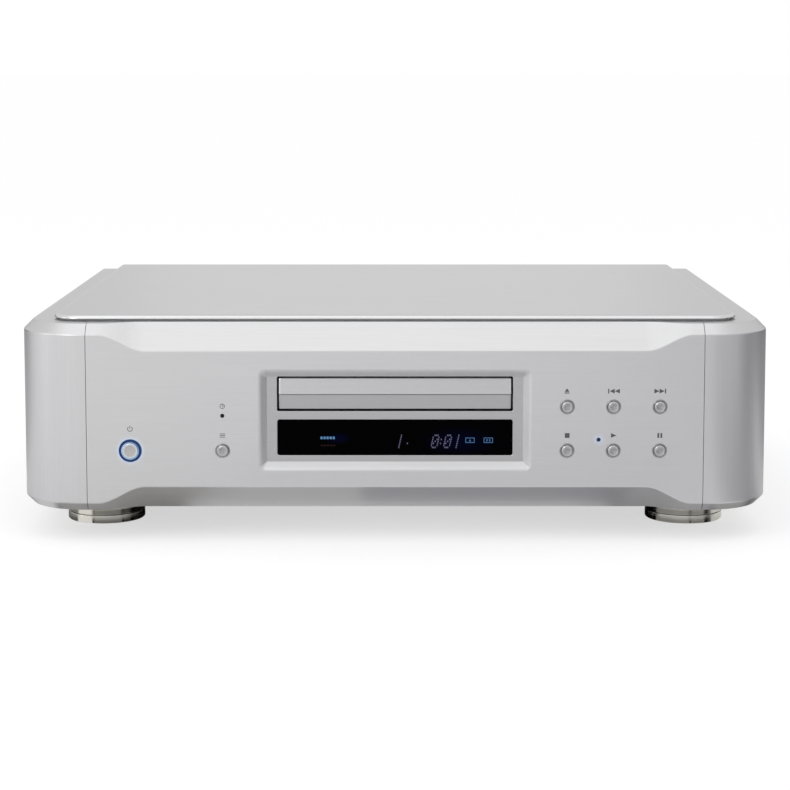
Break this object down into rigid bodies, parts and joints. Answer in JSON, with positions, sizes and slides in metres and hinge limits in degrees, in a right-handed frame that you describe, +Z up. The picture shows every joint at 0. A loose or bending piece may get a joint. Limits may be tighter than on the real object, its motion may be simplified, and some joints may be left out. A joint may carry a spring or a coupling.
{
  "type": "cd player",
  "caption": "Free-standing hi-fi disc player in brushed aluminium: sliding disc tray, display window, push buttons, rear sockets and turned metal feet.",
  "frame": {"origin": "on the floor, under the middle of the whole player", "axes": "+X to the right seen from the front, -Y out of the front panel, +Z up"},
  "size_m": [0.442, 0.353, 0.1315],
  "materials": {
    "brushed_aluminium": "fine linear brushing, clear anodised",
    "zinc_steel": "zinc plated sheet",
    "black_steel": "fine textured black paint",
    "polished_steel": "turned and polished",
    "window": "polished black acrylic",
    "black_plastic": "fine moulded grain",
    "white_plastic": "natural acetal",
    "blue_light": "clear plastic lit blue from behind",
    "circuit_board": "green solder mask",
    "rubber": "matt",
    "gold": "gold plated"
  },
  "bodies": {
    "chassis": {"front_panel": "brushed_aluminium", "side_panel_left": "brushed_aluminium", "side_panel_right": "brushed_aluminium", "top_plate": "brushed_aluminium", "bottom_plate": "black_steel", "rear_panel": "black_steel", "foot_front_left": "polished_steel", "foot_front_right": "polished_steel", "foot_rear_left": "polished_steel", "foot_rear_right": "polished_steel", "foot_base_front_left": "polished_steel", "foot_base_front_right": "polished_steel", "foot_base_rear_left": "polished_steel", "foot_base_rear_right": "polished_steel", "display_window": "window", "display_module": "black_plastic", "display_board": "circuit_board", "key_board_left": "circuit_board", "key_board_right": "circuit_board", "power_ring": "blue_light", "play_lamp": "blue_light", "clock_lamp": "blue_light", "mechanism_base": "black_plastic", "clamp_bridge": "zinc_steel", "loading_belt": "rubber", "loading_motor": "zinc_steel", "transformer": "black_steel", "power_board": "circuit_board", "audio_board": "circuit_board", "digital_board": "circuit_board", "mains_inlet": "black_plastic", "balanced_output_left": "black_plastic", "balanced_output_right": "black_plastic", "phono_output_left": "gold", "phono_output_right": "gold", "digital_output": "gold", "clock_input": "polished_steel"},
    "tray": {"tray": "black_plastic", "tray_front": "brushed_aluminium"},
    "drive_gear": {"drive_gear": "white_plastic"},
    "pulley_gear": {"pulley_gear": "white_plastic"},
    "motor_pulley": {"motor_pulley": "white_plastic"},
    "clamp": {"clamp": "white_plastic"},
    "traverse": {"traverse_frame": "zinc_steel", "spindle_motor": "zinc_steel", "sled_motor": "zinc_steel", "guide_rod_left": "polished_steel", "guide_rod_right": "polished_steel"},
    "platter": {"platter": "black_plastic"},
    "pickup_sled": {"pickup_sled": "black_plastic"},
    "lead_screw": {"lead_screw": "polished_steel"},
    "power_button": {"power_button": "polished_steel"},
    "mode_button": {"mode_button": "polished_steel"},
    "open_button": {"open_button": "polished_steel"},
    "previous_button": {"previous_button": "polished_steel"},
    "next_button": {"next_button": "polished_steel"},
    "stop_button": {"stop_button": "polished_steel"},
    "play_button": {"play_button": "polished_steel"},
    "pause_button": {"pause_button": "polished_steel"}
  },
  "joints": [
    {"name": "tray_slide", "type": "slide", "parent": "chassis", "child": "tray", "axis": [0, -1, 0], "range_m": [0, 0.146]},
    {"name": "drive_gear_spin", "type": "hinge", "parent": "chassis", "child": "drive_gear", "pos_m": [-0.05015, -0.138, 0.07], "axis": [0, 0, 1], "range_deg": [0, 930]},
    {"name": "pulley_gear_spin", "type": "hinge", "parent": "chassis", "child": "pulley_gear", "pos_m": [-0.03015, -0.138, 0.07], "axis": [0, 0, 1], "range_deg": [-2391, 0]},
    {"name": "motor_pulley_spin", "type": "hinge", "parent": "chassis", "child": "motor_pulley", "pos_m": [0.00485, -0.138, 0.06], "axis": [0, 0, 1], "range_deg": [-9562, 0]},
    {"name": "clamp_spin", "type": "hinge", "parent": "chassis", "child": "clamp", "pos_m": [0, -0.092, 0.094], "axis": [0, 0, 1], "continuous": true},
    {"name": "traverse_slide", "type": "slide", "parent": "chassis", "child": "traverse", "axis": [0, 0, -1], "range_m": [0, 0.006]},
    {"name": "platter_spin", "type": "hinge", "parent": "traverse", "child": "platter", "pos_m": [0, -0.092, 0.08], "axis": [0, 0, 1], "continuous": true},
    {"name": "pickup_slide", "type": "slide", "parent": "traverse", "child": "pickup_sled", "axis": [0, 1, 0], "range_m": [0, 0.034]},
    {"name": "lead_screw_spin", "type": "hinge", "parent": "traverse", "child": "lead_screw", "pos_m": [0.033, -0.04, 0.07], "axis": [0, 1, 0], "range_deg": [0, 4082]},
    {"name": "power_button_press", "type": "slide", "parent": "chassis", "child": "power_button", "axis": [0, 1, 0], "range_m": [0, 0.0012], "stiffness_N_per_m": 800, "springref_m": -0.0006},
    {"name": "mode_button_press", "type": "slide", "parent": "chassis", "child": "mode_button", "axis": [0, 1, 0], "range_m": [0, 0.0012], "stiffness_N_per_m": 800, "springref_m": -0.0006},
    {"name": "open_button_press", "type": "slide", "parent": "chassis", "child": "open_button", "axis": [0, 1, 0], "range_m": [0, 0.0012], "stiffness_N_per_m": 800, "springref_m": -0.0006},
    {"name": "previous_button_press", "type": "slide", "parent": "chassis", "child": "previous_button", "axis": [0, 1, 0], "range_m": [0, 0.0012], "stiffness_N_per_m": 800, "springref_m": -0.0006},
    {"name": "next_button_press", "type": "slide", "parent": "chassis", "child": "next_button", "axis": [0, 1, 0], "range_m": [0, 0.0012], "stiffness_N_per_m": 800, "springref_m": -0.0006},
    {"name": "stop_button_press", "type": "slide", "parent": "chassis", "child": "stop_button", "axis": [0, 1, 0], "range_m": [0, 0.0012], "stiffness_N_per_m": 800, "springref_m": -0.0006},
    {"name": "play_button_press", "type": "slide", "parent": "chassis", "child": "play_button", "axis": [0, 1, 0], "range_m": [0, 0.0012], "stiffness_N_per_m": 800, "springref_m": -0.0006},
    {"name": "pause_button_press", "type": "slide", "parent": "chassis", "child": "pause_button", "axis": [0, 1, 0], "range_m": [0, 0.0012], "stiffness_N_per_m": 800, "springref_m": -0.0006}
  ],
  "couplings": [
    {"joint": "drive_gear_spin", "follows": "tray_slide", "rad_per_m": 111.11},
    {"joint": "pulley_gear_spin", "follows": "tray_slide", "rad_per_m": -285.71},
    {"joint": "motor_pulley_spin", "follows": "tray_slide", "rad_per_m": -1142.9},
    {"joint": "clamp_spin", "follows": "platter_spin", "ratio": 1},
    {"joint": "lead_screw_spin", "follows": "pickup_slide", "rad_per_m": 2094.4}
  ]
}
